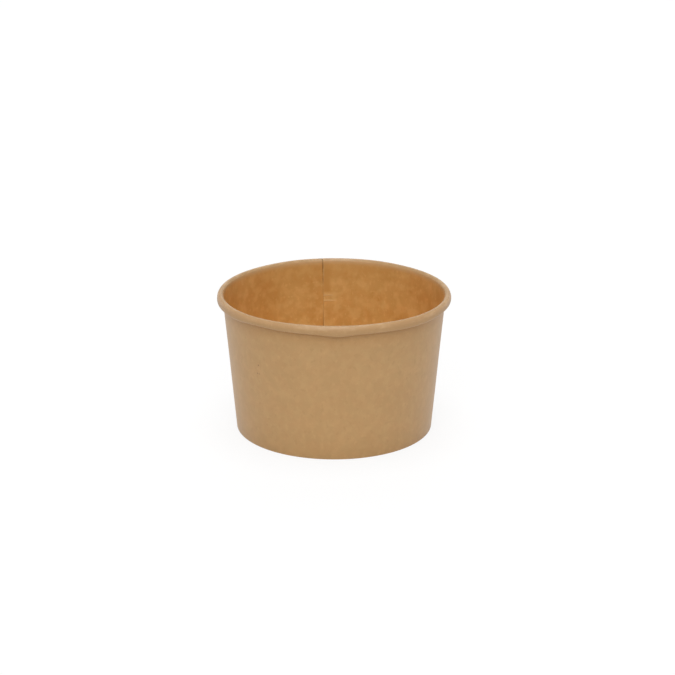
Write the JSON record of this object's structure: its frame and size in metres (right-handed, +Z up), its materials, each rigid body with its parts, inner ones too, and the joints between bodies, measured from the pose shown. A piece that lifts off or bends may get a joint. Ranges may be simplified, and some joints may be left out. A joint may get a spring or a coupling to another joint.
{
  "type": "paper ice cream tub",
  "caption": "Squat tapered kraft-board tub with a rolled rim, a lapped side seam and a recessed pressed base, for holding a serving of ice cream.",
  "frame": {"origin": "centre of the foot ring, on the plane that the tub stands on", "axes": "+Z up along the tub's axis towards the mouth; the lapped seam is at the back, on the +Y side; +X to the right seen from the front"},
  "size_m": [0.096, 0.096, 0.0582],
  "materials": {
    "kraft_wall": "unbleached brown kraft board, smooth, satin",
    "kraft_base": "unbleached brown kraft board, smooth, satin"
  },
  "bodies": {
    "root": {"side_wall": "kraft_wall", "base_disc": "kraft_base"}
  },
  "joints": []
}
